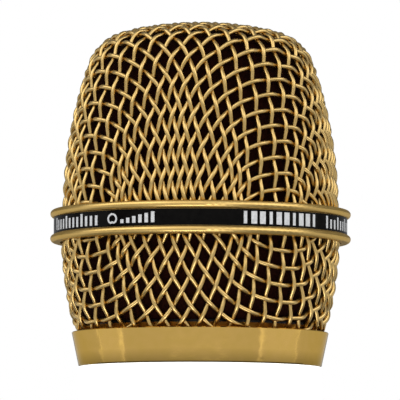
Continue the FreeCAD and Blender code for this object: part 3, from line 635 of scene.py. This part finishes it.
def make_flexing(name, node, slot):
    """A copy of a soft node, with the finish of a slot, that takes the node's place."""
    piece = bpy.data.objects.new(name, frame["nodes"][node].data.copy())
    piece.data.name = name
    piece.data.materials[0] = FINISHES[slot]
    bpy.context.collection.objects.link(piece)
    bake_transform(piece)
    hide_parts(node)


# ---------------------------------------------------------------- materials

def add(tree, kind, inputs, **settings):
    """A new shader node. An input is a value, or a socket to link from."""
    made = tree.nodes.new(kind)
    for key, value in settings.items():
        setattr(made, key, value)
    for key, value in inputs.items():
        if isinstance(value, bpy.types.NodeSocket):
            tree.links.new(value, made.inputs[key])
        else:
            made.inputs[key].default_value = value
    return made


EVEN = (1, 1, 1)
TURNED = (60, 60, 2600)  # fine lines round the axis, as a lathe leaves them
WOUND = (40, 40, 9000)
RIPPLED = (800, 800, 800)
RAMP_ENDS = (0.3, 0.7)


def finish_of(name, dark, light, roughness, scale, bump, stretch=EVEN, depth=0.00005, detail=4.0, **shader):
    """A finish whose colour, roughness and relief follow a grain, stretched and scaled to the material.

    The grain runs from dark to light and between the two roughnesses. Its relief has a strength, bump,
    and a depth in metres. Other settings go to the shader's own sockets.
    """
    material = bpy.data.materials.new(name)
    material.use_nodes = True
    tree = material.node_tree
    principled = tree.nodes["Principled BSDF"]
    for key, value in shader.items():
        principled.inputs[key.replace("_", " ")].default_value = value
    place = add(tree, "ShaderNodeTexCoord", {}).outputs["Object"]
    mapped = add(tree, "ShaderNodeMapping", {"Vector": place, "Scale": stretch}).outputs["Vector"]
    grain = add(tree, "ShaderNodeTexNoise", {"Vector": mapped, "Scale": scale, "Detail": detail})
    fac = grain.outputs["Fac"]
    ramp = add(tree, "ShaderNodeValToRGB", {"Fac": fac})
    for element, position, colour in zip(ramp.color_ramp.elements, RAMP_ENDS, (dark, light)):
        element.position = position
        element.color = (*colour, 1)
    tree.links.new(ramp.outputs["Color"], principled.inputs["Base Color"])
    rough = add(tree, "ShaderNodeMapRange", {"Value": fac, "To Min": roughness[0], "To Max": roughness[1]})
    tree.links.new(rough.outputs["Result"], principled.inputs["Roughness"])
    relief = add(tree, "ShaderNodeBump", {"Height": fac, "Strength": bump, "Distance": depth})
    tree.links.new(relief.outputs["Normal"], principled.inputs["Normal"])
    return material


WHITE = (1, 1, 1, 1)
GOLD_EDGE = (0.80, 0.71, 0.50, 1)  # plated gold is paler where it is seen edge on

LOOKS = {
    "mesh_gold": dict(
        dark=(0.55, 0.364, 0.106), light=(0.66, 0.447, 0.154), roughness=(0.26, 0.38), scale=700,
        bump=0.15, Metallic=1.0, Specular_Tint=GOLD_EDGE, Coat_Weight=0.7, Coat_Roughness=0.25),
    "ring_gold": dict(
        dark=(0.625, 0.40, 0.10), light=(0.645, 0.41, 0.11), roughness=(0.10, 0.13), stretch=RIPPLED,
        scale=1, bump=0.6, detail=0.0, Metallic=1.0, Specular_Tint=GOLD_EDGE),
    "label_black": dict(
        dark=(0.0012, 0.0011, 0.001), light=(0.003, 0.0027, 0.0024), roughness=(0.08, 0.14), scale=900,
        bump=0.05, Specular_IOR_Level=0.05),
    "hoop_steel": dict(
        dark=(0.35, 0.35, 0.36), light=(0.5, 0.5, 0.5), roughness=(0.3, 0.42), stretch=TURNED, scale=1,
        bump=0.2, Metallic=1.0),
    "foam_black": dict(
        dark=(0.0050, 0.0007, 0.0001), light=(0.0120, 0.0020, 0.0004), roughness=(0.85, 1.0), scale=2200,
        bump=1.0, depth=0.0003, Specular_IOR_Level=0.05),
    "nylon_white": dict(
        dark=(0.66, 0.65, 0.6), light=(0.78, 0.77, 0.72), roughness=(0.4, 0.55), scale=900, bump=0.1,
        Subsurface_Weight=0.1),
    "hub_metal": dict(
        dark=(0.02, 0.02, 0.022), light=(0.05, 0.05, 0.053), roughness=(0.3, 0.42), stretch=TURNED,
        scale=1, bump=0.2, Metallic=1.0),
    "board_green": dict(
        dark=(0.005, 0.06, 0.02), light=(0.008, 0.1, 0.035), roughness=(0.25, 0.4), stretch=(1, 4, 1),
        scale=800, bump=0.15, Coat_Weight=0.4),
    "contact_gold": dict(
        dark=(0.75, 0.5, 0.16), light=(0.9, 0.64, 0.25), roughness=(0.15, 0.3), scale=1200, bump=0.1,
        Metallic=1.0),
    "cradle_plastic": dict(
        dark=(0.012, 0.012, 0.013), light=(0.022, 0.022, 0.023), roughness=(0.45, 0.6), scale=2500,
        bump=0.3),
    "screw_steel": dict(
        dark=(0.45, 0.44, 0.42), light=(0.6, 0.59, 0.57), roughness=(0.22, 0.4), scale=1600, bump=0.2,
        Metallic=1.0),
    "shock_rubber": dict(
        dark=(0.010, 0.010, 0.010), light=(0.03, 0.03, 0.03), roughness=(0.6, 0.8), scale=1800,
        bump=0.35),
    "lead_red": dict(
        dark=(0.35, 0.01, 0.01), light=(0.5, 0.02, 0.015), roughness=(0.35, 0.5), scale=900, bump=0.1),
    "lead_black": dict(
        dark=(0.008, 0.008, 0.008), light=(0.02, 0.02, 0.02), roughness=(0.35, 0.5), scale=900, bump=0.1),
    "capsule_metal": dict(
        dark=(0.3, 0.3, 0.31), light=(0.46, 0.46, 0.47), roughness=(0.25, 0.4), stretch=TURNED, scale=1,
        bump=0.25, Metallic=1.0),
    "capsule_plastic": dict(
        dark=(0.014, 0.014, 0.015), light=(0.03, 0.03, 0.032), roughness=(0.4, 0.55), scale=2200,
        bump=0.25),
    "felt_grey": dict(
        dark=(0.05, 0.05, 0.05), light=(0.14, 0.14, 0.14), roughness=(0.9, 1.0), stretch=(1, 1, 4),
        scale=2600, bump=1.0, depth=0.0002, Sheen_Weight=0.3),
    "cloth_black": dict(
        dark=(0.006, 0.006, 0.006), light=(0.02, 0.02, 0.02), roughness=(0.8, 0.95), scale=3000, bump=0.8,
        Sheen_Weight=0.15),
    "yoke_steel": dict(
        dark=(0.3, 0.29, 0.27), light=(0.42, 0.41, 0.38), roughness=(0.3, 0.45), stretch=TURNED, scale=1,
        bump=0.2, Metallic=1.0),
    "magnet_nickel": dict(
        dark=(0.55, 0.53, 0.49), light=(0.68, 0.66, 0.61), roughness=(0.15, 0.3), scale=700, bump=0.1,
        Metallic=1.0),
    "film_clear": dict(
        dark=(0.7, 0.7, 0.68), light=(0.8, 0.8, 0.78), roughness=(0.15, 0.3), scale=600, bump=0.1,
        Transmission_Weight=0.6),
    "coil_copper": dict(
        dark=(0.5, 0.18, 0.07), light=(0.7, 0.3, 0.13), roughness=(0.25, 0.4), stretch=WOUND,
        scale=1, bump=0.5, Metallic=1.0),
    "post_tin": dict(
        dark=(0.55, 0.55, 0.53), light=(0.7, 0.7, 0.68), roughness=(0.25, 0.45), scale=1500, bump=0.25,
        Metallic=1.0),
    "print_silver": dict(
        dark=(0.34, 0.345, 0.35), light=(0.46, 0.465, 0.47), roughness=(0.35, 0.5), scale=2200, bump=0.1),
    "satin_gold": dict(
        dark=(0.64, 0.43, 0.14), light=(0.69, 0.47, 0.165), roughness=(0.30, 0.36), scale=300, bump=0.10,
        Metallic=1.0, Specular_Tint=GOLD_EDGE),
}

FINISHES = {name: finish_of(name, **look) for name, look in LOOKS.items()}


# Painted shade on the base ring: its colour is scaled to this share at the foot, and back to full over this
# height.
FOOT_SHADE = 0.50
FOOT_FADE = 2.2 * MM


def painted_shade_at_foot(finish, name):
    """A copy of a finish with painted shade: its colour darkens towards the foot, standing in for the darker
    reflection along the ring's lower edge.
    """
    shaded_copy = finish.copy()
    shaded_copy.name = name
    tree = shaded_copy.node_tree
    base = tree.nodes["Principled BSDF"].inputs["Base Color"]
    place = add(tree, "ShaderNodeTexCoord", {}).outputs["Object"]
    height = add(tree, "ShaderNodeSeparateXYZ", {"Vector": place}).outputs["Z"]
    fade = add(tree, "ShaderNodeMapRange", {
        "Value": height, "From Min": 0.0, "From Max": FOOT_FADE, "To Min": FOOT_SHADE, "To Max": 1.0})
    colour, share = base.links[0].from_socket, fade.outputs["Result"]
    scaled = add(tree, "ShaderNodeVectorMath", {0: colour, "Scale": share}, operation="SCALE")
    tree.links.new(scaled.outputs["Vector"], base)
    return shaded_copy


def dress_nodes():
    """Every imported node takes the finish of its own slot, except three rings that are finished otherwise."""
    own = {
        "band_ring": FINISHES["satin_gold"],
        "clamp_ring": FINISHES["satin_gold"],
        # The base ring's colour carries painted shade, darker towards its foot.
        "base_ring": painted_shade_at_foot(FINISHES["ring_gold"], "base_ring_gold_painted_shade"),
    }
    for name, node in frame["nodes"].items():
        for place in node.material_slots:
            # A packed material is named for its slot, with a number after a dot where Blender adds one.
            place.material = own.get(name) or FINISHES[place.material.name.split(".")[0]]


# ---------------------------------------------------------------- stage, light and camera

STAGE_WHITE = 0.85
STAGE_MOTTLE = 0.97
STAGE_GLOW = 0.9
STAGE_SIDES = 96
FLOOR_DEPTH = 80
FLOOR_RADIUS = 5000
PLINTH_RADIUS = 19.3
PLINTH_TOP = -0.05
PLINTH_BORE = 0.01


def stage_material(name):
    """A matt white that glows a little, so that it is as bright as the background."""
    return finish_of(
        name, dark=(STAGE_MOTTLE * STAGE_WHITE,) * 3, light=(STAGE_WHITE,) * 3, roughness=(0.6, 0.7),
        scale=3, bump=0.0, Emission_Color=WHITE, Emission_Strength=STAGE_GLOW)


def make_stage():
    """A wide floor far below the object, and a plinth that carries it.

    Neither shows in the metal, and the floor doesn't stop the light that comes from below.
    """
    angle = np.arange(STAGE_SIDES) * 2 * math.pi / STAGE_SIDES
    edge = [FLOOR_RADIUS * np.cos(angle), FLOOR_RADIUS * np.sin(angle), np.full(STAGE_SIDES, -FLOOR_DEPTH)]
    floor = make_piece("floor", np.stack(edge, 1), [tuple(range(STAGE_SIDES))], stage_material("floor_white"))
    outline = [
        (PLINTH_RADIUS, PLINTH_TOP),
        (PLINTH_RADIUS, -FLOOR_DEPTH),
        (PLINTH_BORE, -FLOOR_DEPTH),
        (PLINTH_BORE, PLINTH_TOP),
    ]
    plinth = turned("plinth", outline, STAGE_SIDES, stage_material("plinth_white"))
    floor.visible_glossy = plinth.visible_glossy = False
    floor.visible_shadow = False


# Azimuth is from the front towards +X, both angles are in degrees, and lengths are in metres.
SOFTBOXES = (
    # name, azimuth, elevation, distance, (width, height), radiance
    ("left_softbox", -90.5, 8, 0.5, (0.27, 0.62), 0.60),
    ("left_low_card", -136.5, -16, 0.5, (0.613, 0.34), 0.46),
    ("right_softbox", 78.5, 8, 0.5, (0.425, 0.60), 0.60),
    ("right_low_card", 134, -16, 0.5, (0.66, 0.34), 0.44),
    ("high_left_softbox", -66, 37, 0.5, (0.50, 0.34), 1.5),
    ("high_right_softbox", 62, 37, 0.5, (0.50, 0.34), 1.5),
    ("top_softbox", -35, 62, 0.45, (0.50, 0.34), 0.75),
    ("high_front_softbox", -5, 32, 0.8, (1.1, 0.60), 0.88),
    ("front_card", -10, 0, 0.9, (1.8, 0.28), 0.50),
    ("low_front_card", -10, -31, 0.5, (2.05, 0.34), 0.48),
    ("low_bright_card", -2, -42, 0.12, (0.09, 0.03), 4.0),
)


def direction(azimuth, elevation):
    """A unit vector from the object's middle towards a bearing."""
    around, up = math.radians(azimuth), math.radians(elevation)
    return Vector((math.sin(around) * math.cos(up), -math.cos(around) * math.cos(up), math.sin(up)))


def make_lights():
    """Softboxes and cards that face the object's middle, hidden from the camera."""
    low, high = cad_bounds
    middle = (low + high) / 2
    for name, azimuth, elevation, distance, size, radiance in SOFTBOXES:
        data = bpy.data.lights.new(name, "AREA")
        data.shape = "RECTANGLE"
        data.size, data.size_y = size
        data.energy = radiance * math.pi * size[0] * size[1]
        lamp = bpy.data.objects.new(name, data)
        way = direction(azimuth, elevation)
        lamp.location = middle + way * distance
        lamp.rotation_euler = (-way).to_track_quat("-Z", "Y").to_euler()
        lamp.visible_camera = False
        bpy.context.collection.objects.link(lamp)


DIM_TINT = (0.95, 0.97, 1, 1)
DIM_STRENGTH = 0.26


def make_world():
    """White where the camera sees it, and dim to everything else, so that the metal's edges go dark."""
    world = bpy.data.worlds.new("studio")
    world.use_nodes = True
    bpy.context.scene.world = world
    tree = world.node_tree
    tree.nodes.clear()
    seen = add(tree, "ShaderNodeBackground", {"Color": WHITE, "Strength": 1.0}).outputs[0]
    dim = add(tree, "ShaderNodeBackground", {"Color": DIM_TINT, "Strength": DIM_STRENGTH}).outputs[0]
    straight = add(tree, "ShaderNodeLightPath", {}).outputs["Is Camera Ray"]
    mixed = add(tree, "ShaderNodeMixShader", {0: straight, 1: dim, 2: seen}).outputs[0]
    add(tree, "ShaderNodeOutputWorld", {"Surface": mixed})


VIEW_DISTANCE = 0.790
VIEW_HEIGHT = -0.0335  # below the foot: the camera looks up
AIM_HEIGHT = 0.0267
AIM_SIDE = -0.0001
SENSOR = 36.0
LENS = 446.0
NEAREST = 0.05
LEAN = 0.2  # the camera's roll, in degrees


def make_camera():
    data = bpy.data.cameras.new("camera")
    data.sensor_width = SENSOR
    data.lens = LENS
    data.clip_start = NEAREST
    camera = bpy.data.objects.new("camera", data)
    camera.location = (AIM_SIDE, -VIEW_DISTANCE, VIEW_HEIGHT)
    way = Vector((AIM_SIDE, 0, AIM_HEIGHT)) - camera.location
    look = way.to_track_quat("-Z", "Y").to_matrix()
    camera.rotation_euler = (look @ Matrix.Rotation(math.radians(LEAN), 3, "Z")).to_euler()
    bpy.context.collection.objects.link(camera)
    bpy.context.scene.camera = camera


bpy.context.scene.view_settings.view_transform = "Standard"
make_dome_weave(FINISHES["mesh_gold"])
make_skirt_weave(FINISHES["mesh_gold"])
make_foam("dome_liner", "dome_foam", FINISHES["foam_black"])
make_foam("skirt_liner", "skirt_foam", FINISHES["foam_black"])
make_marks(FINISHES["print_silver"])
make_handle_thread(FINISHES["hub_metal"])
make_flexing("shock_cushion", "shock_ring_lower", "shock_rubber")
make_flexing("lead_signal_wire", "lead_signal", "lead_red")
make_flexing("lead_return_wire", "lead_return", "lead_black")
dress_nodes()
make_stage()
make_world()
make_lights()
make_camera()

bpy.context.view_layer.update()
